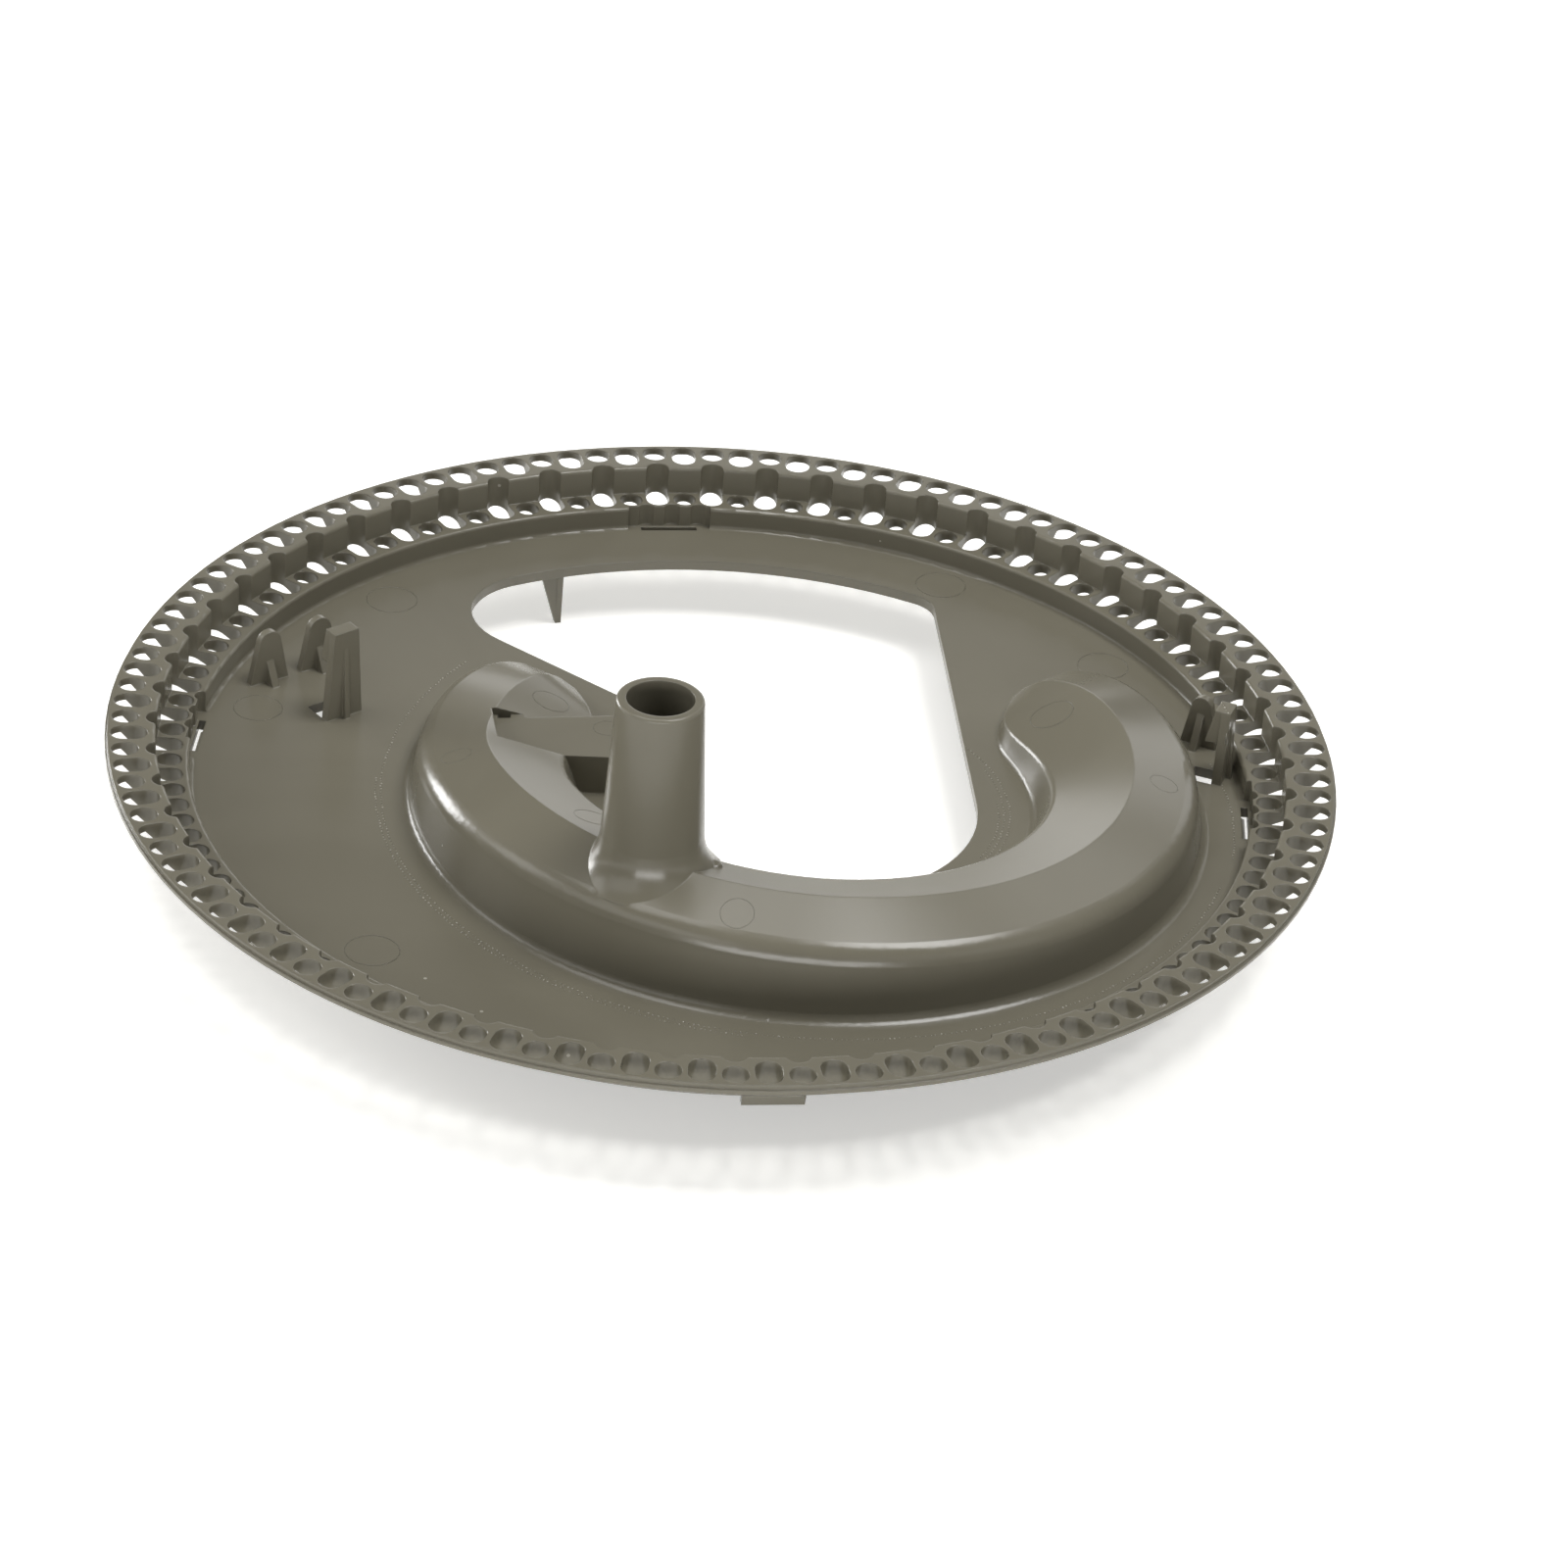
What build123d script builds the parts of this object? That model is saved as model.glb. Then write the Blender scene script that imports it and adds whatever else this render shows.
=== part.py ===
from build123d import *
import math
import os

# Round dished cover moulded in one piece, all sizes in millimetres.
# The disc axis is the Z axis and the feet stand on Z = 0.

# Disc, rim and the two perforated ledges
disc_radius = 140.0
rim_height = 28.0
ledge_thickness = 1.8
lip_thickness = 2.0
lip_width = 1.0
lip_step_height = 0.9
lip_step = 0.5
lower_ledge_drop = 7.0
step_wall_radius = 128.5
underside_foot_radius = 121.4
underside_inner_knee = (126.0, 17.5)
underside_outer_knee = (131.0, 20.0)
underside_top_radius = 136.4
floor_drop = 12.5
floor_radius = 120.9
floor_thickness = 2.5
floor_fillet = 0.9
edge_round = 0.7

# Oblong holes, sixty of each kind, large and small in turn
hole_count = 60
pattern_angle = -5.16
hole_pitch_angle = 360.0 / hole_count
half_pitch_angle = hole_pitch_angle / 2
upper_large_hole = (130.3, 138.8, 5.9)
upper_small_hole = (132.5, 138.7, 5.8)
lower_large_hole = (122.4, 130.9, 5.6)
lower_small_hole = (122.5, 128.4, 5.4)
cut_margin = 1.0

# Snap lugs under the floor edge, each with a slot above its barb and a recess in the wall
lug_angles = (98.7, 177.5, 278.34, 360.6)
lug_width = 13.7
lug_inner_radius = 117.8
lug_thickness = 1.8
lug_barb = 1.2
lug_lead_in = 2.8
lug_catch = 0.6
lug_bottom = 9.5
lug_slot_length = 13.6
lug_slot_width = 1.6
recess_radius = 121.7
recess_depth = 4.0
recess_width = 20.0
recess_groove_radius = 2.1
recess_groove_centre = 120.9

# Opening through the floor
opening_far_radius = 104.5
opening_near_radius = 39.2
opening_right_lean = 7.3
opening_left_slope = 36.3
opening_left_point = (-57.0, 60.5)
opening_far_corner = 8.0
opening_tip_angle = 140.0
opening_tip_round = 18.0
opening_knee_round = 10.0

# Raised duct bent round the opening
duct_centre = (20.0, -4.0)
duct_ridge_radius = 73.5
duct_wall = 2.2
duct_embed = 1.0
inner_draft = 0.36
outer_draft = 0.18
eave_drop = 5.6
eave_drop_share = 0.3
eave_round = 5.5
foot_round = 2.4
inner_edge_round = 2.0
full_round_height = 9.0
foot_sink = 0.05
# angle, inner foot radius, outer foot radius, ridge height, inner edge height
duct_stations = (
    (48.0, 69.0, 87.0, 2.6, 1.6),
    (43.0, 60.0, 89.5, 7.5, 3.4),
    (36.0, 54.0, 90.5, 11.5, 4.6),
    (24.0, 52.0, 90.5, 14.5, 6.0),
    (5.0, 52.0, 90.5, 16.0, 8.5),
    (-20.0, 52.0, 90.5, 17.1, 11.2),
    (-50.0, 52.0, 90.5, 19.2, 14.0),
    (-88.0, 52.0, 90.5, 21.8, 16.7),
    (-130.0, 52.0, 90.5, 22.7, 17.3),
    (-160.0, 52.0, 90.5, 19.6, 14.2),
    (-172.0, 52.0, 90.5, 16.4, 11.2),
    (-182.0, 52.0, 90.5, 13.2, 8.0),
    (-193.0, 51.5, 90.5, 11.2, 5.4),
    (-204.0, 54.0, 90.0, 9.2, 4.2),
    (-211.0, 60.0, 88.5, 6.4, 3.0),
    (-216.0, 68.0, 86.0, 2.6, 1.6),
)

# Shelf let into the left arm of the duct
shelf_left = -54.0
shelf_right = -21.0
shelf_front_left = -8.6
shelf_front_right = -6.3
shelf_back_left = 6.6
shelf_back_right = 12.8
shelf_height = 9.65
shelf_wall = 2.0
notch_gap = 1.4
notch_left = -50.8
notch_lean = 2.6
slit_right = -49.0

# Upright tube on the duct
tube_centre = (-13.2, -65.5)
tube_top = 76.6
tube_top_radius = 9.6
tube_foot_radius = 11.4
tube_bore_radius = 7.5
tube_lip_round = 0.8
tube_flare_rise = 4.5
tube_flare_drop = 5.0
tube_flare_radius = 16.2
tube_inner_limit = 58.2
pin_centre = (0.6, -65.0)
pin_radius = 2.0
pin_height = 20.4
pin_round = 1.2

# Clip posts and tabs on the floor
tab_thickness = 1.8
tab_top_share = 0.55
gusset_length = 4.2
post_thickness = 2.2
barb_depth = 3.2
barb_height = 8.5
barb_flat = 1.4
post_rib = 1.3
post_rib_share = 0.8
post_slot_depth = 5.8
# centre, angle, foot width, height, share of the height the gusset reaches
clip_tabs = (
    ((-107.2, 32.7), 36.0, 10.5, 13.2, 0.55),
    ((-96.4, 40.8), 36.0, 10.5, 13.2, 0.55),
    ((110.4, 35.3), -26.0, 9.3, 12.8, 0.85),
)
# centre, angle, foot width, top width, height, length of the floor slot
clip_posts = (
    ((-88.6, 19.6), 40.0, 9.7, 6.5, 22.5, 9.7),
    ((115.4, 21.6), 72.0, 9.5, 5.0, 18.2, 6.2),
)

# Legs under the floor
# angle and radius of each leg
leg_places = ((114.2, 105.8), (214.2, 105.8), (334.0, 114.0))
leg_rib = 1.4
leg_upright_side = 0.9
leg_sloped_side = 4.8
leg_across_side = 0.9
leg_foot_side = 0.7

floor_top = rim_height - floor_drop
floor_bottom = floor_top - floor_thickness
lower_top = rim_height - lower_ledge_drop
upper_bottom = rim_height - ledge_thickness
lip_bottom = rim_height - lip_thickness
through_bottom = floor_bottom - cut_margin
through_height = rim_height + cut_margin


def radial_point(radius, angle, centre=(0.0, 0.0)):
    turn = math.radians(angle)
    return (centre[0] + radius * math.cos(turn), centre[1] + radius * math.sin(turn))


# Disc section turned about the axis
def disc():
    section = Polyline(
        (0, floor_bottom),
        (underside_foot_radius, floor_bottom),
        underside_inner_knee,
        underside_outer_knee,
        (underside_top_radius, upper_bottom),
        (disc_radius - lip_width, upper_bottom),
        (disc_radius - lip_width, lip_bottom),
        (disc_radius, lip_bottom),
        (disc_radius, lip_bottom + lip_step_height),
        (disc_radius - lip_step, lip_bottom + lip_step_height),
        (disc_radius - lip_step, rim_height),
        (step_wall_radius, rim_height),
        (step_wall_radius, lower_top),
        (floor_radius, lower_top),
        (floor_radius, floor_top),
        (0, floor_top),
        close=True,
    )
    face = make_face(section)

    def corner(radius, height):
        return face.vertices().sort_by_distance((radius, height, 0))[0]

    face = fillet(corner(floor_radius, floor_top), floor_fillet)
    face = fillet(corner(floor_radius, lower_top), edge_round)
    face = fillet(corner(step_wall_radius, rim_height), edge_round)
    return revolve(Plane.XZ * face, Axis.Z, 360)


def ring_of_slots(hole, start_angle, bottom, top):
    inner_end, outer_end, width = hole
    middle = (inner_end + outer_end) / 2
    slot = SlotOverall(outer_end - inner_end, width)
    slots = PolarLocations(middle, hole_count, start_angle) * slot
    return extrude(Plane.XY.offset(bottom) * Sketch(children=list(slots)), top - bottom)


def rim_holes():
    small_angle = pattern_angle + half_pitch_angle
    return [
        ring_of_slots(upper_large_hole, pattern_angle, through_bottom, through_height),
        ring_of_slots(upper_small_hole, small_angle, through_bottom, through_height),
        ring_of_slots(lower_large_hole, small_angle, through_bottom, through_height),
        ring_of_slots(lower_small_hole, pattern_angle, through_bottom, lower_top + edge_round),
    ]


# Opening outline, drawn with sharp corners and rounded afterwards
def opening():
    near = radial_point(opening_near_radius, opening_right_lean, duct_centre)
    lean = math.tan(math.radians(opening_right_lean))
    far_right = (near[0] - lean * opening_far_radius, near[1] + opening_far_radius)
    slope = math.tan(math.radians(opening_left_slope))
    left_side = duct_centre[0] - opening_near_radius
    knee_height = opening_left_point[1] - slope * (left_side - opening_left_point[0])
    far_left_x = -opening_far_radius
    far_left_y = opening_left_point[1] - slope * (far_left_x - opening_left_point[0])
    outline = Polyline(
        near,
        far_right,
        (far_right[0], 2 * opening_far_radius),
        (far_left_x, 2 * opening_far_radius),
        (far_left_x, far_left_y),
        (left_side, knee_height),
        (left_side, duct_centre[1]),
        duct_centre,
        close=True,
    )
    face = make_face(outline) & Circle(opening_far_radius)
    face = face + Pos(*duct_centre) * Circle(opening_near_radius)
    face = fillet(face.vertices().sort_by_distance(far_right)[0], opening_far_corner)
    tip = radial_point(opening_far_radius, opening_tip_angle)
    face = fillet(face.vertices().sort_by_distance(tip)[0], opening_tip_round)
    face = fillet(face.vertices().sort_by_distance((left_side, knee_height))[0], opening_knee_round)
    return extrude(Plane.XY.offset(through_bottom) * face, floor_thickness + 2 * cut_margin)


# Arc that rounds the corner between two straight stretches
def rounded_corner(before, corner, after, radius):
    ahead = (Vector(*before) - Vector(*corner)).normalized()
    behind = (Vector(*after) - Vector(*corner)).normalized()
    half = math.radians(ahead.get_angle(behind)) / 2
    bisector = (ahead + behind).normalized()
    start = Vector(*corner) + ahead * (radius / math.tan(half))
    end = Vector(*corner) + behind * (radius / math.tan(half))
    middle = Vector(*corner) + bisector * (radius / math.sin(half) - radius)
    return ThreePointArc(start, middle, end)


# Duct cross-section at one station; inset draws the hollow inside it
def duct_section(station, inset):
    angle, inner_foot, outer_foot, ridge_height, inner_height = station
    roundness = min(1.0, inner_height / full_round_height)
    bottom = -duct_embed
    sink = foot_sink
    if inset > 0:
        bottom = -floor_thickness - cut_margin
        sink = floor_thickness
        ridge_height = max(ridge_height - inset, cut_margin)
        inner_height = max(inner_height - inset, cut_margin / 2)
        inner_foot = inner_foot + inset
        outer_foot = outer_foot - inset
    eave_height = ridge_height - min(eave_drop, eave_drop_share * ridge_height)
    ridge = (duct_ridge_radius, ridge_height)
    eave = (outer_foot - outer_draft * eave_height, eave_height)
    brink = (inner_foot + inner_draft * inner_height, inner_height)
    outer_base = (outer_foot, -sink)
    inner_base = (inner_foot, -sink)
    outer_corner = rounded_corner(eave, outer_base, (disc_radius, -sink), foot_round * roundness)
    eave_corner = rounded_corner(ridge, eave, outer_base, eave_round * roundness)
    brink_corner = rounded_corner(inner_base, brink, ridge, inner_edge_round * roundness)
    inner_corner = rounded_corner((0, -sink), inner_base, brink, foot_round * roundness)
    outer_end = outer_corner @ 1
    inner_end = inner_corner @ 0
    outline = [
        Line((inner_end.X, bottom), (outer_end.X, bottom)),
        Line((outer_end.X, bottom), outer_end),
        outer_corner,
        Line(outer_corner @ 0, eave_corner @ 1),
        eave_corner,
        Line(eave_corner @ 0, ridge),
        Line(ridge, brink_corner @ 1),
        brink_corner,
        Line(brink_corner @ 0, inner_corner @ 1),
        inner_corner,
        Line(inner_end, (inner_end.X, bottom)),
    ]
    turn = math.radians(angle)
    plane = Plane(
        origin=(duct_centre[0], duct_centre[1], floor_top),
        x_dir=(math.cos(turn), math.sin(turn), 0),
        z_dir=(math.sin(turn), -math.cos(turn), 0),
    )
    return plane * make_face(outline)


def duct_body(inset):
    return loft([duct_section(station, inset) for station in duct_stations])


# Shelf plan between two x positions, its front and back edges slightly skewed
def shelf_plan(left, right, front_gap, back_gap, lean=0.0):
    span = shelf_right - shelf_left
    front_slope = (shelf_front_right - shelf_front_left) / span
    back_slope = (shelf_back_right - shelf_back_left) / span
    front = shelf_front_left - front_gap
    back = shelf_back_left + back_gap
    return make_face(
        Polyline(
            (left, front + front_slope * (left - shelf_left)),
            (right, front + front_slope * (right - shelf_left)),
            (right, back + back_slope * (right - shelf_left)),
            (left - lean, back + back_slope * (left - lean - shelf_left)),
            close=True,
        )
    )


def upright(face, bottom, top):
    return extrude(Plane.XY.offset(bottom) * face, top - bottom)


def duct_notch(grow):
    plan = shelf_plan(notch_left - grow, shelf_right, grow, notch_gap + grow, notch_lean)
    return upright(plan, floor_top + shelf_height - grow, tube_top)


def shelf_box():
    return upright(shelf_plan(shelf_left, shelf_right, 0, 0), floor_bottom, floor_top + shelf_height)


def shelf_hollow():
    plan = shelf_plan(shelf_left, shelf_right - shelf_wall, -shelf_wall, -shelf_wall)
    return upright(plan, through_bottom, floor_top + shelf_height - shelf_wall)


def shelf_slit():
    plan = shelf_plan(shelf_left + shelf_wall, slit_right, 0, notch_gap)
    plan = plan - shelf_plan(shelf_left, shelf_right, 0, 0)
    return upright(plan, floor_top + cut_margin, rim_height)


# Tube turned about its own axis, flared onto the roof and flush with the inner side of the duct
def tube():
    foot = floor_top + shelf_height
    roof = floor_top + max(station[3] for station in duct_stations)
    flare_top = roof + tube_flare_rise
    flare_bottom = roof - tube_flare_drop
    taper = (tube_foot_radius - tube_top_radius, flare_top - tube_top)
    outline = [
        Line((0, foot), (tube_flare_radius, foot)),
        Line((tube_flare_radius, foot), (tube_flare_radius, flare_bottom)),
        TangentArc((tube_foot_radius, flare_top), (tube_flare_radius, flare_bottom), tangent=taper),
        Line((tube_foot_radius, flare_top), (tube_top_radius, tube_top)),
        Line((tube_top_radius, tube_top), (0, tube_top)),
        Line((0, tube_top), (0, foot)),
    ]
    face = make_face(outline)
    lip = face.vertices().sort_by_distance((tube_top_radius, tube_top, 0))[0]
    face = fillet(lip, tube_lip_round)
    turned = Pos(*tube_centre) * revolve(Plane.XZ * face, Axis.Z, 360)
    return turned - upright(Pos(*duct_centre) * Circle(tube_inner_limit), floor_bottom, flare_top)


def tube_bore():
    foot = floor_top + shelf_height / 2
    length = tube_top + cut_margin - foot
    return Pos(tube_centre[0], tube_centre[1], foot + length / 2) * Cylinder(tube_bore_radius, length)


def pin():
    rod = Pos(pin_centre[0], pin_centre[1], floor_top + pin_height / 2) * Cylinder(pin_radius, pin_height)
    return fillet(rod.edges().sort_by(Axis.Z)[-1], pin_round)


# Upright plate standing on the floor, its local x along the given angle
def standing(centre, angle, sketch, thickness):
    plane = Plane(
        origin=(centre[0], centre[1], floor_top),
        x_dir=(math.cos(math.radians(angle)), math.sin(math.radians(angle)), 0),
        z_dir=(math.sin(math.radians(angle)), -math.cos(math.radians(angle)), 0),
    )
    return extrude(plane * sketch, thickness / 2, both=True)


def tab(centre, angle, width, height, gusset_share):
    top = width * tab_top_share
    foot = -duct_embed
    shape = make_face(
        Polyline(
            (-width / 2, foot),
            (width / 2, foot),
            (top / 2, height - top / 2),
            (-top / 2, height - top / 2),
            close=True,
        )
    )
    shape = shape + Pos(0, height - top / 2) * Circle(top / 2)
    gusset = make_face(
        Polyline((0, foot), (gusset_length, foot), (gusset_length, 0), (0, gusset_share * height), close=True)
    )
    return standing(centre, angle, shape, tab_thickness) + standing(centre, angle - 90, gusset, tab_thickness)


def hook_post(centre, angle, width, top, height, slot_length):
    foot = -duct_embed
    shape = make_face(
        Polyline((-width / 2, foot), (width / 2, foot), (top / 2, height), (-top / 2, height), close=True)
    )
    post = standing(centre, angle, shape, post_thickness)
    half = post_thickness / 2
    barb = make_face(
        Polyline(
            (-half, height),
            (-half - barb_flat, height),
            (-half - barb_depth, height - barb_height),
            (-half, height - barb_height),
            close=True,
        )
    )
    rib = make_face(
        Polyline(
            (half, foot),
            (half + post_rib, foot),
            (half + post_rib, 0),
            (half, post_rib_share * height),
            close=True,
        )
    )
    post = post + standing(centre, angle - 90, barb, top)
    return post + standing(centre, angle - 90, rib, post_rib)


def post_slot(centre, angle, width, top, height, slot_length):
    outline = Rectangle(slot_length, post_slot_depth, align=(Align.MIN, Align.MIN))
    turned = Pos(centre[0], centre[1]) * Rot(0, 0, angle) * Pos(-width / 2, post_thickness / 2) * outline
    return extrude(Plane.XY.offset(through_bottom) * turned, floor_thickness + 2 * cut_margin)


def lug(angle):
    inner = lug_inner_radius
    outer = inner + lug_thickness
    section = make_face(
        Polyline(
            (inner, lug_bottom),
            (outer, lug_bottom),
            (outer + lug_barb, lug_bottom + lug_lead_in),
            (outer, lug_bottom + lug_lead_in + lug_catch),
            (outer, floor_bottom + duct_embed),
            (inner, floor_bottom + duct_embed),
            close=True,
        )
    )
    return Rot(0, 0, angle) * extrude(Plane.XZ * section, lug_width / 2, both=True)


def lug_slot(angle):
    start = lug_inner_radius + lug_thickness
    slot = Pos(start + lug_slot_width / 2, 0) * Rectangle(lug_slot_width, lug_slot_length)
    height = floor_thickness + 2 * cut_margin
    return Rot(0, 0, angle) * extrude(Plane.XY.offset(through_bottom) * slot, height)


# Recess over a lug, with a groove between each two holes behind it
def wall_recess(angle):
    height = lower_top + cut_margin - floor_top
    middle = floor_top + height / 2
    panel = Pos(recess_radius - recess_depth / 2, 0, middle) * Box(recess_depth, recess_width, height)
    groove = Pos(recess_groove_centre, 0, middle) * Cylinder(recess_groove_radius, height)
    first_gap = pattern_angle + half_pitch_angle / 2
    nearest = first_gap + half_pitch_angle * round((angle - first_gap) / half_pitch_angle)
    grooves = [Rot(0, 0, nearest + step * half_pitch_angle) * groove for step in (-1, 0, 1)]
    return [Rot(0, 0, angle) * panel] + grooves


def leg_rib_shape(near_side, far_side):
    plate = floor_bottom + duct_embed
    foot = min(near_side, leg_foot_side)
    return make_face(
        Polyline((-foot, 0), (leg_foot_side, 0), (far_side, plate), (-near_side, plate), close=True)
    )


def leg(angle, radius):
    across = extrude(Plane.XZ * leg_rib_shape(leg_across_side, leg_across_side), leg_rib / 2, both=True)
    along = extrude(Plane.YZ * leg_rib_shape(leg_upright_side, leg_sloped_side), leg_rib / 2, both=True)
    return Rot(0, 0, angle) * Pos(radius, 0, 0) * (across + along)


body = disc() - rim_holes()
body = body - opening()
body = body + (duct_body(0) - duct_notch(0)) + shelf_box() + tube() + pin()
body = body - (duct_body(duct_wall) - duct_notch(shelf_wall))
body = body - shelf_hollow() - shelf_slit() - tube_bore()
body = body - [lug_slot(angle) for angle in lug_angles]
body = body + [lug(angle) for angle in lug_angles] + [leg(*place) for place in leg_places]
body = body + [tab(*clip) for clip in clip_tabs] + [hook_post(*clip) for clip in clip_posts]
body = body - [cut for angle in lug_angles for cut in wall_recess(angle)]
body = body - [post_slot(*clip) for clip in clip_posts]

os.makedirs("parts", exist_ok=True)
accumulator = body.solids()[0]
accumulator.label = "accumulator"
export_step(accumulator, "parts/accumulator.step")
print("solids", len(body.solids()), "volume", round(accumulator.volume))
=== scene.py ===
import math

import bpy
from mathutils import Matrix, Vector


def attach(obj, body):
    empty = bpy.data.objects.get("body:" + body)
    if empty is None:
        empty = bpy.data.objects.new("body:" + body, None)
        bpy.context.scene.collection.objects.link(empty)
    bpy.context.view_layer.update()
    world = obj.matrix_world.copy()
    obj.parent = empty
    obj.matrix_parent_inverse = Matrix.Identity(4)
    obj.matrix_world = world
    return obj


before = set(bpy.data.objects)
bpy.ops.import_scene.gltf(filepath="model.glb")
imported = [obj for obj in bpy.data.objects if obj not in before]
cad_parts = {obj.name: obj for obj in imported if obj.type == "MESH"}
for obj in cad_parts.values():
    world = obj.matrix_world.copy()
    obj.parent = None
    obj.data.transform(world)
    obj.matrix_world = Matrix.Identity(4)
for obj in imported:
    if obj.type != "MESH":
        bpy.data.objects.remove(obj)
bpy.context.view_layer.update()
scene = bpy.context.scene
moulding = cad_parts["accumulator"]
mmPerMetre = 1000
print("frame loaded, nodes:", sorted(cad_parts))


def addNode(tree, kind, **settings):
    node = tree.nodes.new(kind)
    for name, value in settings.items():
        setattr(node, name, value)
    return node


def newGroup(name, kind, inputs, outputs):
    tree = bpy.data.node_groups.new(name, kind)
    for label, socketType, default in inputs:
        socket = tree.interface.new_socket(name=label, in_out="INPUT", socket_type=socketType)
        if default is not None:
            socket.default_value = default
    for label, socketType in outputs:
        tree.interface.new_socket(name=label, in_out="OUTPUT", socket_type=socketType)
    return tree, addNode(tree, "NodeGroupInput"), addNode(tree, "NodeGroupOutput")


def mathNode(tree, operation, first, second):
    node = addNode(tree, "ShaderNodeMath", operation=operation)
    for slot, value in enumerate((first, second)):
        if isinstance(value, (int, float)):
            node.inputs[slot].default_value = value
        else:
            tree.links.new(value, node.inputs[slot])
    return node.outputs[0]


def srgb(red, green, blue):
    def linear(channel):
        level = channel / 255
        return level / 12.92 if level <= 0.04045 else ((level + 0.055) / 1.055) ** 2.4
    return (linear(red), linear(green), linear(blue), 1.0)


# surface effects shared by the materials

mouldFlow = {"cloudDetail": 3.0, "cloudDistortion": 0.8, "grainDetail": 2.0}
softEdges = {"samples": 6, "maskGain": 4.0}
noiseRange = (0.3, 0.7)  # where most values of the noise fall


def makeFlowGroup(values):
    tree, given, result = newGroup(
        "mouldFlow", "ShaderNodeTree",
        [("Coordinates", "NodeSocketVector", None), ("Cloud Scale", "NodeSocketFloat", 20.0),
         ("Grain Scale", "NodeSocketFloat", 2000.0)],
        [("Cloud", "NodeSocketFloat"), ("Grain", "NodeSocketFloat")])
    cloud = addNode(tree, "ShaderNodeTexNoise")
    cloud.inputs["Detail"].default_value = values["cloudDetail"]
    cloud.inputs["Distortion"].default_value = values["cloudDistortion"]
    grain = addNode(tree, "ShaderNodeTexNoise")
    grain.inputs["Detail"].default_value = values["grainDetail"]
    for node, scale in ((cloud, "Cloud Scale"), (grain, "Grain Scale")):
        tree.links.new(given.outputs["Coordinates"], node.inputs["Vector"])
        tree.links.new(given.outputs[scale], node.inputs["Scale"])
    tree.links.new(cloud.outputs["Fac"], result.inputs["Cloud"])
    tree.links.new(grain.outputs["Fac"], result.inputs["Grain"])
    return tree


def makeDustGroup():
    tree, given, result = newGroup(
        "dustSpecks", "ShaderNodeTree",
        [("Coordinates", "NodeSocketVector", None), ("Scale", "NodeSocketFloat", 250.0),
         ("Speck Size", "NodeSocketFloat", 0.08), ("Share", "NodeSocketFloat", 0.1)],
        [("Mask", "NodeSocketFloat")])
    cells = addNode(tree, "ShaderNodeTexVoronoi")
    tree.links.new(given.outputs["Coordinates"], cells.inputs["Vector"])
    tree.links.new(given.outputs["Scale"], cells.inputs["Scale"])
    split = addNode(tree, "ShaderNodeSeparateColor")
    tree.links.new(cells.outputs["Color"], split.inputs["Color"])
    near = mathNode(tree, "LESS_THAN", cells.outputs["Distance"], given.outputs["Speck Size"])
    chosen = mathNode(tree, "LESS_THAN", split.outputs["Red"], given.outputs["Share"])
    tree.links.new(mathNode(tree, "MULTIPLY", near, chosen), result.inputs["Mask"])
    return tree


# bevelled normal for the rounded edges, and a mask of where it turns away, which sets the painted edge
# highlight
def makeEdgeGroup(values):
    tree, given, result = newGroup(
        "softEdges", "ShaderNodeTree",
        [("Radius", "NodeSocketFloat", 0.0004)],
        [("Mask", "NodeSocketFloat"), ("Normal", "NodeSocketVector")])
    bevel = addNode(tree, "ShaderNodeBevel", samples=values["samples"])
    tree.links.new(given.outputs["Radius"], bevel.inputs["Radius"])
    surface = addNode(tree, "ShaderNodeNewGeometry")
    facing = addNode(tree, "ShaderNodeVectorMath", operation="DOT_PRODUCT")
    tree.links.new(bevel.outputs["Normal"], facing.inputs[0])
    tree.links.new(surface.outputs["Normal"], facing.inputs[1])
    turned = mathNode(tree, "SUBTRACT", 1.0, facing.outputs["Value"])
    gained = mathNode(tree, "MULTIPLY", turned, values["maskGain"])
    tree.links.new(mathNode(tree, "MINIMUM", gained, 1.0), result.inputs["Mask"])
    tree.links.new(bevel.outputs["Normal"], result.inputs["Normal"])
    return tree


flowGroup = makeFlowGroup(mouldFlow)
dustGroup = makeDustGroup()
edgeGroup = makeEdgeGroup(softEdges)
print("surface groups built")


def mixColor(tree, amount, first, second):
    node = addNode(tree, "ShaderNodeMix", data_type="RGBA")
    for name, value in (("Factor_Float", amount), ("A_Color", first), ("B_Color", second)):
        socket = next(entry for entry in node.inputs if entry.identifier == name)
        if isinstance(value, (int, float, tuple)):
            socket.default_value = value
        else:
            tree.links.new(value, socket)
    return next(entry for entry in node.outputs if entry.identifier == "Result_Color")


def remap(tree, value, low, high):
    node = addNode(tree, "ShaderNodeMapRange")
    node.inputs["From Min"].default_value = noiseRange[0]
    node.inputs["From Max"].default_value = noiseRange[1]
    node.inputs["To Min"].default_value = low
    node.inputs["To Max"].default_value = high
    tree.links.new(value, node.inputs["Value"])
    return node.outputs["Result"]


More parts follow.
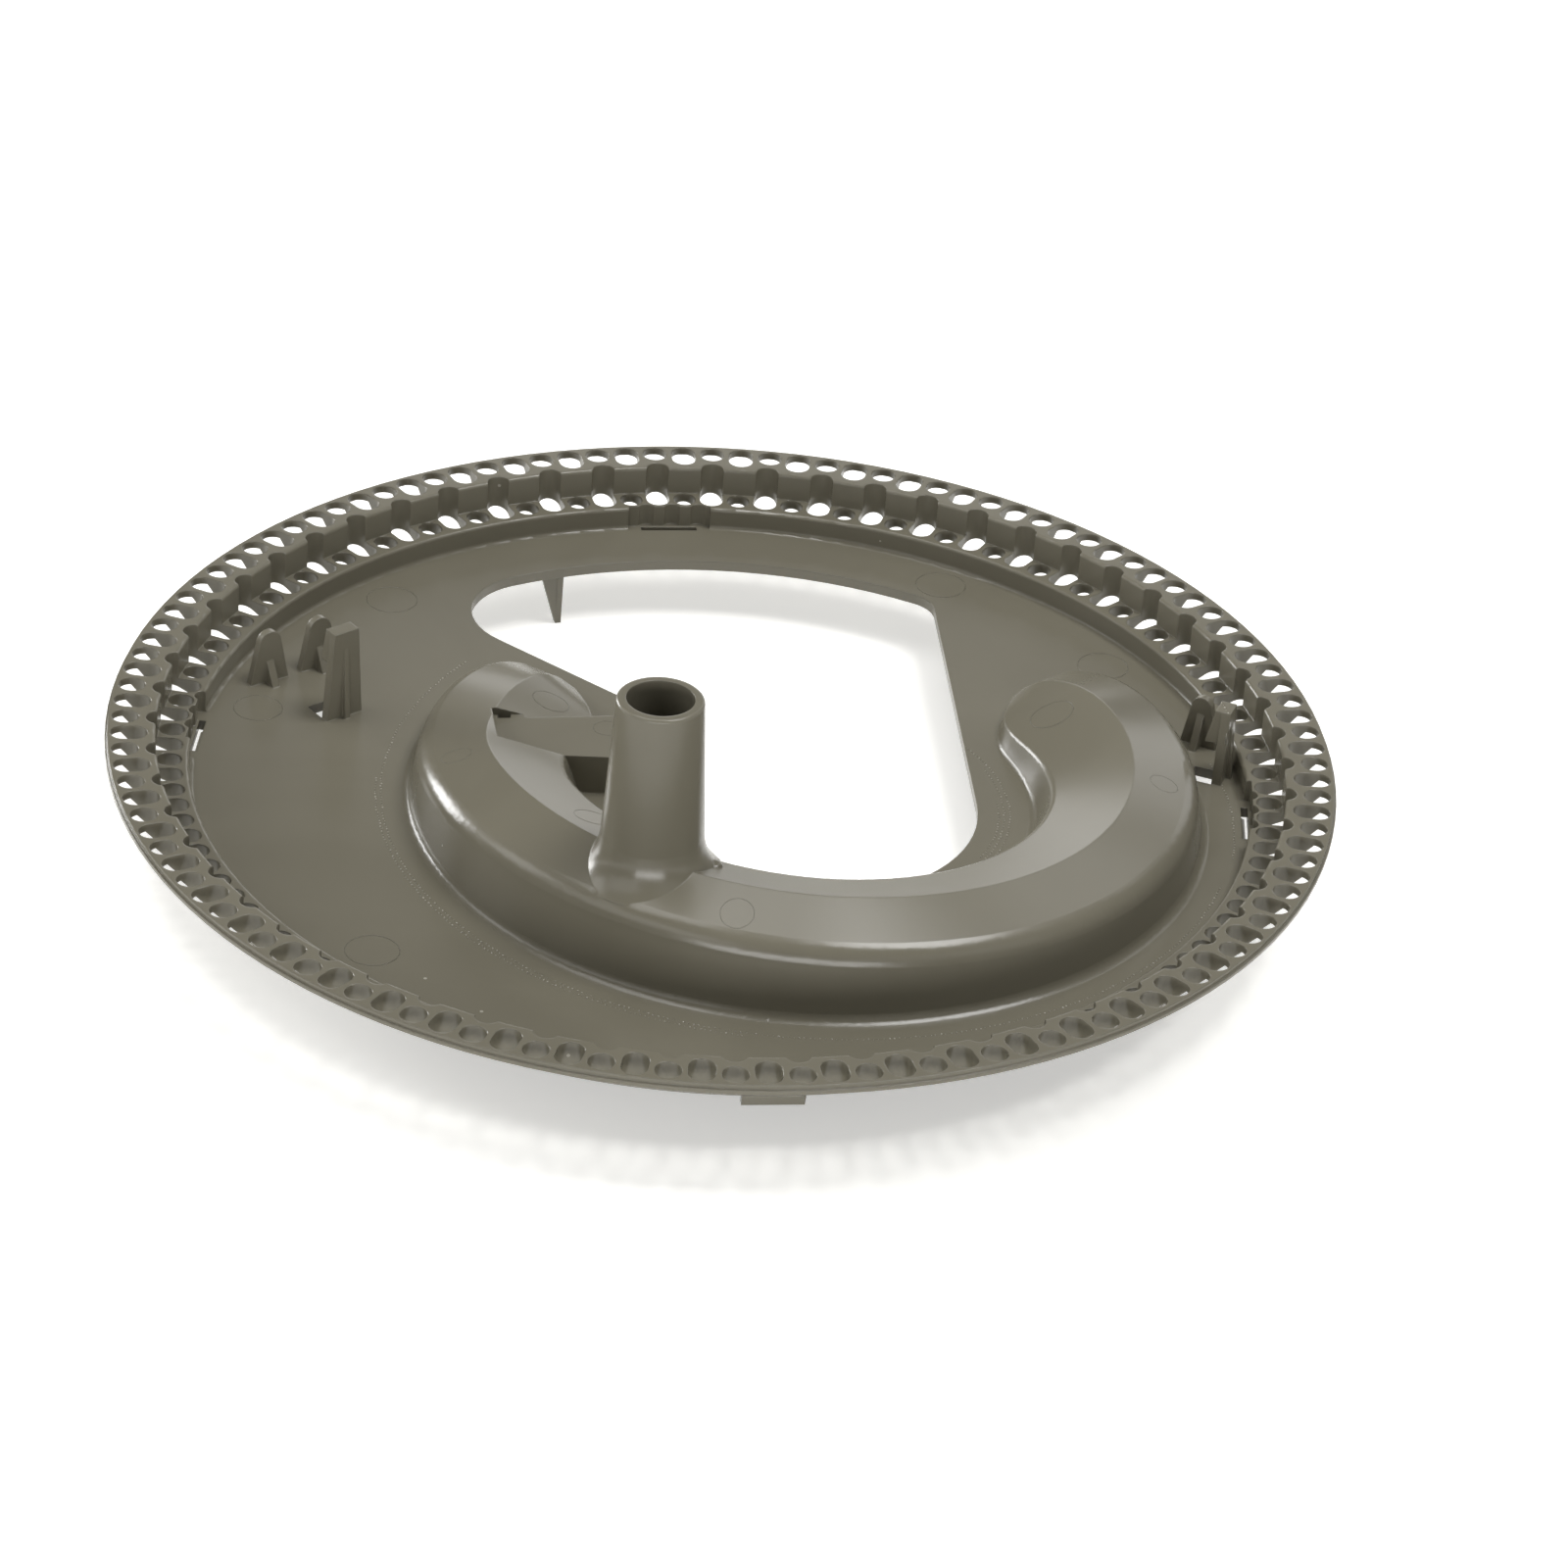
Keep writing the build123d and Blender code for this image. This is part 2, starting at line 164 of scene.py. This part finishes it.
def makePlastic(name, look):
    material = bpy.data.materials.new(name)
    material.use_nodes = True
    tree = material.node_tree
    shader = tree.nodes["Principled BSDF"]
    place = addNode(tree, "ShaderNodeTexCoord")
    flow = addNode(tree, "ShaderNodeGroup", node_tree=flowGroup)
    flow.inputs["Cloud Scale"].default_value = look["cloudScale"]
    flow.inputs["Grain Scale"].default_value = look["grainScale"]
    dust = addNode(tree, "ShaderNodeGroup", node_tree=dustGroup)
    dust.inputs["Scale"].default_value = look["dustScale"]
    dust.inputs["Speck Size"].default_value = look["dustSize"]
    dust.inputs["Share"].default_value = look["dustShare"]
    edges = addNode(tree, "ShaderNodeGroup", node_tree=edgeGroup)
    edges.inputs["Radius"].default_value = look["edgeRadius"]
    for node in (flow, dust):
        tree.links.new(place.outputs["Object"], node.inputs["Coordinates"])
    color = mixColor(tree, remap(tree, flow.outputs["Cloud"], 0.0, 1.0), look["dark"], look["light"])
    # painted highlight: the edges are mixed towards a paler colour where the bevelled normal turns,
    # standing in for light caught on the rounded edges
    paintedEdgeHighlight = mathNode(tree, "MULTIPLY", edges.outputs["Mask"], look["edgeLight"])
    color = mixColor(tree, paintedEdgeHighlight, color, look["edge"])
    dusted = mathNode(tree, "MULTIPLY", dust.outputs["Mask"], look["dustStrength"])
    color = mixColor(tree, dusted, color, look["dust"])
    tree.links.new(color, shader.inputs["Base Color"])
    tree.links.new(remap(tree, flow.outputs["Grain"], *look["roughness"]), shader.inputs["Roughness"])
    bump = addNode(tree, "ShaderNodeBump")
    bump.inputs["Strength"].default_value = look["bumpStrength"]
    bump.inputs["Distance"].default_value = look["bumpDepth"]
    tree.links.new(flow.outputs["Grain"], bump.inputs["Height"])
    tree.links.new(edges.outputs["Normal"], bump.inputs["Normal"])
    tree.links.new(bump.outputs["Normal"], shader.inputs["Normal"])
    return material


# the edge colour and its share paint a highlight along the edges of the moulding
greyPlasticLook = {
    "dark": srgb(112, 108, 94), "light": srgb(118, 114, 100), "edge": srgb(146, 141, 126),
    "dust": srgb(196, 192, 180), "cloudScale": 18.0, "grainScale": 2600.0, "roughness": (0.2, 0.27),
    "bumpStrength": 0.02, "bumpDepth": 0.0001, "edgeRadius": 0.0005, "edgeLight": 0.35,
    "dustScale": 150.0, "dustSize": 0.06, "dustShare": 0.05, "dustStrength": 0.5,
}
greyPlastic = makePlastic("greyPlastic", greyPlasticLook)
speckPlastic = makePlastic("speckPlastic", dict(
    greyPlasticLook, dark=srgb(172, 168, 156), light=srgb(196, 192, 180), dustStrength=0.0))
# the pin circles are real marks of the moulding; their paler colour is a painted highlight for the light
# caught on their thin lines
pinCircleHighlightPlastic = makePlastic("pinCircleHighlightPlastic", dict(
    greyPlasticLook, dark=srgb(134, 130, 116), light=srgb(146, 142, 128), dustStrength=0.0))
moulding.data.materials.clear()
moulding.data.materials.append(greyPlastic)
print("plastic on the moulding")


# marks laid on the moulding by geometry nodes

def makeDrapeGroup():
    tree, given, result = newGroup(
        "drapeOnMoulding", "GeometryNodeTree",
        [("Geometry", "NodeSocketGeometry", None), ("Moulding", "NodeSocketObject", None),
         ("Ray Height", "NodeSocketFloat", 0.2)],
        [("Geometry", "NodeSocketGeometry")])
    target = addNode(tree, "GeometryNodeObjectInfo", transform_space="RELATIVE")
    tree.links.new(given.outputs["Moulding"], target.inputs["Object"])
    position = addNode(tree, "GeometryNodeInputPosition")
    parts = addNode(tree, "ShaderNodeSeparateXYZ")
    tree.links.new(position.outputs["Position"], parts.inputs["Vector"])
    start = addNode(tree, "ShaderNodeCombineXYZ")
    ray = addNode(tree, "GeometryNodeRaycast")
    ray.inputs["Ray Direction"].default_value = (0.0, 0.0, -1.0)
    ray.inputs["Ray Length"].default_value = 1.0
    tree.links.new(given.outputs["Ray Height"], start.inputs["Z"])
    tree.links.new(start.outputs["Vector"], ray.inputs["Source Position"])
    tree.links.new(target.outputs["Geometry"], ray.inputs["Target Geometry"])
    hit = addNode(tree, "ShaderNodeSeparateXYZ")
    tree.links.new(ray.outputs["Hit Position"], hit.inputs["Vector"])
    laid = addNode(tree, "ShaderNodeCombineXYZ")
    for axis in ("X", "Y"):
        tree.links.new(parts.outputs[axis], start.inputs[axis])
        tree.links.new(parts.outputs[axis], laid.inputs[axis])
    tree.links.new(mathNode(tree, "ADD", hit.outputs["Z"], parts.outputs["Z"]), laid.inputs["Z"])
    move = addNode(tree, "GeometryNodeSetPosition")
    tree.links.new(given.outputs["Geometry"], move.inputs["Geometry"])
    tree.links.new(ray.outputs["Is Hit"], move.inputs["Selection"])
    tree.links.new(laid.outputs["Vector"], move.inputs["Position"])
    missed = addNode(tree, "FunctionNodeBooleanMath", operation="NOT")
    tree.links.new(ray.outputs["Is Hit"], missed.inputs[0])
    clear = addNode(tree, "GeometryNodeDeleteGeometry")
    tree.links.new(move.outputs["Geometry"], clear.inputs["Geometry"])
    tree.links.new(missed.outputs["Boolean"], clear.inputs["Selection"])
    tree.links.new(clear.outputs["Geometry"], result.inputs["Geometry"])
    return tree


drapeGroup = makeDrapeGroup()


def finishTree(tree, given, result, geometry):
    real = addNode(tree, "GeometryNodeRealizeInstances")
    tree.links.new(geometry, real.inputs["Geometry"])
    drape = addNode(tree, "GeometryNodeGroup", node_tree=drapeGroup)
    tree.links.new(real.outputs["Geometry"], drape.inputs["Geometry"])
    tree.links.new(given.outputs["Moulding"], drape.inputs["Moulding"])
    paint = addNode(tree, "GeometryNodeSetMaterial")
    tree.links.new(drape.outputs["Geometry"], paint.inputs["Geometry"])
    tree.links.new(given.outputs["Material"], paint.inputs["Material"])
    tree.links.new(paint.outputs["Geometry"], result.inputs["Geometry"])


# plan place and radius in millimetres of the circles left by the ejector pins
pinCircles = {
    "lineShare": 0.014,
    "lineSides": 6,
    "steps": 64,
    "circles": (
        (-82.0, 74.1, 6.0), (48.8, 101.2, 6.0), (88.0, 67.9, 6.0), (-72.2, -79.2, 6.0), (-108.0, 19.5, 5.6),
        (75.2, 27.9, 4.8), (-40.5, 20.0, 4.2), (-59.3, -19.3, 3.4), (-26.8, 6.1, 3.1),
        (-26.9, -48.6, 4.2), (6.6, -83.6, 3.7), (100.4, -7.2, 3.2)),
}


def makeRingTree(values):
    tree, given, result = newGroup(
        "pinCircles", "GeometryNodeTree",
        [("Geometry", "NodeSocketGeometry", None), ("Moulding", "NodeSocketObject", None),
         ("Material", "NodeSocketMaterial", None), ("Line Share", "NodeSocketFloat", 0.02),
         ("Steps", "NodeSocketInt", 64)],
        [("Geometry", "NodeSocketGeometry")])
    circle = addNode(tree, "GeometryNodeCurvePrimitiveCircle")
    circle.inputs["Radius"].default_value = 1.0
    tree.links.new(given.outputs["Steps"], circle.inputs["Resolution"])
    line = addNode(tree, "GeometryNodeCurvePrimitiveCircle")
    line.inputs["Resolution"].default_value = values["lineSides"]
    tree.links.new(given.outputs["Line Share"], line.inputs["Radius"])
    ring = addNode(tree, "GeometryNodeCurveToMesh")
    tree.links.new(circle.outputs["Curve"], ring.inputs["Curve"])
    tree.links.new(line.outputs["Curve"], ring.inputs["Profile Curve"])
    size = addNode(tree, "GeometryNodeInputNamedAttribute", data_type="FLOAT")
    size.inputs["Name"].default_value = "circleRadius"
    place = addNode(tree, "GeometryNodeInstanceOnPoints")
    tree.links.new(given.outputs["Geometry"], place.inputs["Points"])
    tree.links.new(ring.outputs["Mesh"], place.inputs["Instance"])
    tree.links.new(size.outputs["Attribute"], place.inputs["Scale"])
    finishTree(tree, given, result, place.outputs["Instances"])
    return tree


# rows of fine specks along both feet of the duct: radius, start and end angle about its centre
speckRows = {
    "centre": (20.0, -4.0),
    "spacing": 1.15,
    "wander": 0.16,
    "speckRadius": 0.2,
    "sizeRange": (0.5, 1.3),
    "subdivisions": 1,
    "seed": 11,
    "rows": (
        (97.0, -212.0, -14.0), (98.2, -178.0, -96.0), (97.8, -6.0, 18.0),
        (46.6, 40.0, -35.0), (45.2, 26.0, -30.0), (44.0, 8.0, -24.0)),
    "steps": 64,
}


def makeSpeckTree(values):
    tree, given, result = newGroup(
        "speckRows", "GeometryNodeTree",
        [("Geometry", "NodeSocketGeometry", None), ("Moulding", "NodeSocketObject", None),
         ("Material", "NodeSocketMaterial", None), ("Spacing", "NodeSocketFloat", 0.0016),
         ("Wander", "NodeSocketFloat", 0.0004), ("Speck Radius", "NodeSocketFloat", 0.0002),
         ("Seed", "NodeSocketInt", 7)],
        [("Geometry", "NodeSocketGeometry")])
    dots = addNode(tree, "GeometryNodeResampleCurve", mode="LENGTH")
    tree.links.new(given.outputs["Geometry"], dots.inputs["Curve"])
    tree.links.new(given.outputs["Spacing"], dots.inputs["Length"])
    points = addNode(tree, "GeometryNodeCurveToPoints", mode="EVALUATED")
    tree.links.new(dots.outputs["Curve"], points.inputs["Curve"])
    wander = addNode(tree, "FunctionNodeRandomValue", data_type="FLOAT_VECTOR")
    wander.inputs["Min"].default_value = (-1.0, -1.0, 0.0)
    wander.inputs["Max"].default_value = (1.0, 1.0, 0.0)
    tree.links.new(given.outputs["Seed"], wander.inputs["Seed"])
    scaled = addNode(tree, "ShaderNodeVectorMath", operation="SCALE")
    tree.links.new(wander.outputs["Value"], scaled.inputs[0])
    tree.links.new(given.outputs["Wander"], scaled.inputs["Scale"])
    move = addNode(tree, "GeometryNodeSetPosition")
    tree.links.new(points.outputs["Points"], move.inputs["Geometry"])
    tree.links.new(scaled.outputs["Vector"], move.inputs["Offset"])
    grain = addNode(tree, "GeometryNodeMeshIcoSphere")
    grain.inputs["Subdivisions"].default_value = values["subdivisions"]
    tree.links.new(given.outputs["Speck Radius"], grain.inputs["Radius"])
    size = addNode(tree, "FunctionNodeRandomValue", data_type="FLOAT")
    size.inputs[2].default_value = values["sizeRange"][0]
    size.inputs[3].default_value = values["sizeRange"][1]
    tree.links.new(given.outputs["Seed"], size.inputs["Seed"])
    place = addNode(tree, "GeometryNodeInstanceOnPoints")
    tree.links.new(move.outputs["Geometry"], place.inputs["Points"])
    tree.links.new(grain.outputs["Mesh"], place.inputs["Instance"])
    tree.links.new(size.outputs[1], place.inputs["Scale"])
    finishTree(tree, given, result, place.outputs["Instances"])
    return tree


def bakeTree(name, source, tree, values):
    scene.collection.objects.link(source)
    modifier = source.modifiers.new(name, "NODES")
    modifier.node_group = tree
    for entry in tree.interface.items_tree:
        if entry.in_out == "INPUT" and entry.name in values:
            modifier[entry.identifier] = values[entry.name]
    graph = bpy.context.evaluated_depsgraph_get()
    mesh = bpy.data.meshes.new_from_object(source.evaluated_get(graph))
    mesh.name = name
    piece = bpy.data.objects.new(name, mesh)
    scene.collection.objects.link(piece)
    bpy.data.objects.remove(source)
    for polygon in mesh.polygons:
        polygon.use_smooth = True
    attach(piece, "root")
    print(name, "faces:", len(mesh.polygons))
    return piece


def makePinCircles(values):
    mesh = bpy.data.meshes.new("pinCirclePoints")
    places = [(x / mmPerMetre, y / mmPerMetre, 0.0) for x, y, radius in values["circles"]]
    mesh.from_pydata(places, [], [])
    sizes = mesh.attributes.new("circleRadius", "FLOAT", "POINT")
    for entry, (x, y, radius) in zip(sizes.data, values["circles"]):
        entry.value = radius / mmPerMetre
    return bakeTree("pinCircles", bpy.data.objects.new("pinCirclePoints", mesh), makeRingTree(values), {
        "Moulding": moulding, "Material": pinCircleHighlightPlastic,
        "Line Share": values["lineShare"], "Steps": values["steps"]})


def makeSpeckRows(values):
    curve = bpy.data.curves.new("speckPaths", "CURVE")
    curve.dimensions = "3D"
    for radius, start, end in values["rows"]:
        spline = curve.splines.new("POLY")
        spline.points.add(values["steps"])
        for index, point in enumerate(spline.points):
            turn = math.radians(start + (end - start) * index / values["steps"])
            x = values["centre"][0] + radius * math.cos(turn)
            y = values["centre"][1] + radius * math.sin(turn)
            point.co = (x / mmPerMetre, y / mmPerMetre, 0.0, 1.0)
    return bakeTree("speckRows", bpy.data.objects.new("speckPaths", curve), makeSpeckTree(values), {
        "Moulding": moulding, "Material": speckPlastic,
        "Spacing": values["spacing"] / mmPerMetre, "Wander": values["wander"] / mmPerMetre,
        "Speck Radius": values["speckRadius"] / mmPerMetre, "Seed": values["seed"]})


makePinCircles(pinCircles)
makeSpeckRows(speckRows)


# studio
studio = {
    "floorSize": 8.0, "floorColor": srgb(248, 247, 242), "floorLift": 0.42,
    "floorRoughness": 0.9,
    "worldColor": (1.0, 1.0, 1.0, 1.0), "worldStrength": 0.02, "lampDistance": 1.5,
    # name, direction, height angle, width, height, power
    "lamps": (
        ("backLeftLow", 144.0, 8.5, 0.6, 0.6, 14.6),
        ("overheadRight", 0.0, 70.0, 0.6, 0.6, 12.5),
        ("overheadLeft", 180.0, 70.0, 0.6, 0.6, 3.4),
        ("overheadBack", 110.0, 75.0, 0.6, 0.6, 2.9),
        ("sideLeft", 178.0, 30.0, 0.6, 0.6, 2.5),
        ("frontRight", -45.0, 28.0, 1.4, 0.6, 1.0),
        ("frontLow", -90.0, 7.0, 1.4, 0.3, 9.5),
        ("frontLeft", -135.0, 28.0, 1.4, 0.6, 3.0),
        ("back", 90.0, 18.0, 0.6, 0.6, 0.7),
        ("backRight", 50.0, 45.0, 0.6, 0.6, 1.4),
        ("backLow", 90.0, 10.0, 0.6, 0.6, 1.1),
        ("backRightLow", 61.0, 16.0, 0.6, 0.6, 1.5)),
}


def makeFloor(values):
    half = values["floorSize"] / 2
    mesh = bpy.data.meshes.new("floor")
    corners = [(-half, -half, 0), (half, -half, 0), (half, half, 0), (-half, half, 0)]
    mesh.from_pydata(corners, [], [(0, 1, 2, 3)])
    floor = bpy.data.objects.new("floor", mesh)
    scene.collection.objects.link(floor)
    paper = bpy.data.materials.new("whitePaper")
    paper.use_nodes = True
    tree = paper.node_tree
    shader = tree.nodes["Principled BSDF"]
    shader.inputs["Base Color"].default_value = values["floorColor"]
    shader.inputs["Roughness"].default_value = values["floorRoughness"]
    shader.inputs["Emission Color"].default_value = (1.0, 1.0, 1.0, 1.0)
    path = addNode(tree, "ShaderNodeLightPath")
    seen = mathNode(tree, "MAXIMUM", path.outputs["Is Camera Ray"], path.outputs["Is Glossy Ray"])
    lift = mathNode(tree, "MULTIPLY", seen, values["floorLift"])
    tree.links.new(lift, shader.inputs["Emission Strength"])
    mesh.materials.append(paper)


def makeWorld(values):
    world = bpy.data.worlds.new("studioWorld")
    scene.world = world
    world.use_nodes = True
    background = world.node_tree.nodes["Background"]
    background.inputs["Color"].default_value = values["worldColor"]
    background.inputs["Strength"].default_value = values["worldStrength"]


def makeLamps(values):
    for name, direction, rise, width, height, power in values["lamps"]:
        turn = math.radians(direction)
        lift = math.radians(rise)
        place = Vector((math.cos(turn) * math.cos(lift), math.sin(turn) * math.cos(lift), math.sin(lift)))
        place *= values["lampDistance"]
        lamp = bpy.data.lights.new(name, "AREA")
        lamp.shape = "RECTANGLE"
        lamp.size = width
        lamp.size_y = height
        lamp.energy = power
        holder = bpy.data.objects.new(name, lamp)
        holder.location = place
        holder.rotation_euler = (-place).to_track_quat("-Z", "Y").to_euler()
        scene.collection.objects.link(holder)


makeFloor(studio)
makeWorld(studio)
makeLamps(studio)
print("studio ready")


# camera as found from the ellipse of the rim and the rows of holes
view = {
    "discRadius": 0.14, "rimHeight": 0.028, "imageWidth": 1600, "focalPixels": 6490.86,
    "elevation": 31.339, "roll": 4.302, "distance": 10.2349, "aim": (0.10411, -0.12275), "sensor": 36.0,
}


def makeCamera(values):
    rise = math.radians(values["elevation"])
    roll = math.radians(values["roll"])
    back = Vector((0.0, -math.cos(rise), math.sin(rise)))
    right = Vector((1.0, 0.0, 0.0))
    down = (-back).cross(right)
    across = right * math.cos(roll) - down * math.sin(roll)
    below = right * math.sin(roll) + down * math.cos(roll)
    aim = Vector((values["aim"][0], values["aim"][1], 0.0))
    place = (aim + back * values["distance"]) * values["discRadius"]
    place += Vector((0.0, 0.0, values["rimHeight"]))
    lens = bpy.data.cameras.new("photoCamera")
    lens.sensor_width = values["sensor"]
    lens.lens = values["focalPixels"] / values["imageWidth"] * values["sensor"]
    holder = bpy.data.objects.new("photoCamera", lens)
    turn = Matrix((across, -below, back)).transposed().to_4x4()
    holder.matrix_world = Matrix.Translation(place) @ turn
    scene.collection.objects.link(holder)
    scene.camera = holder


makeCamera(view)
scene.view_settings.view_transform = "Standard"
print("camera set")
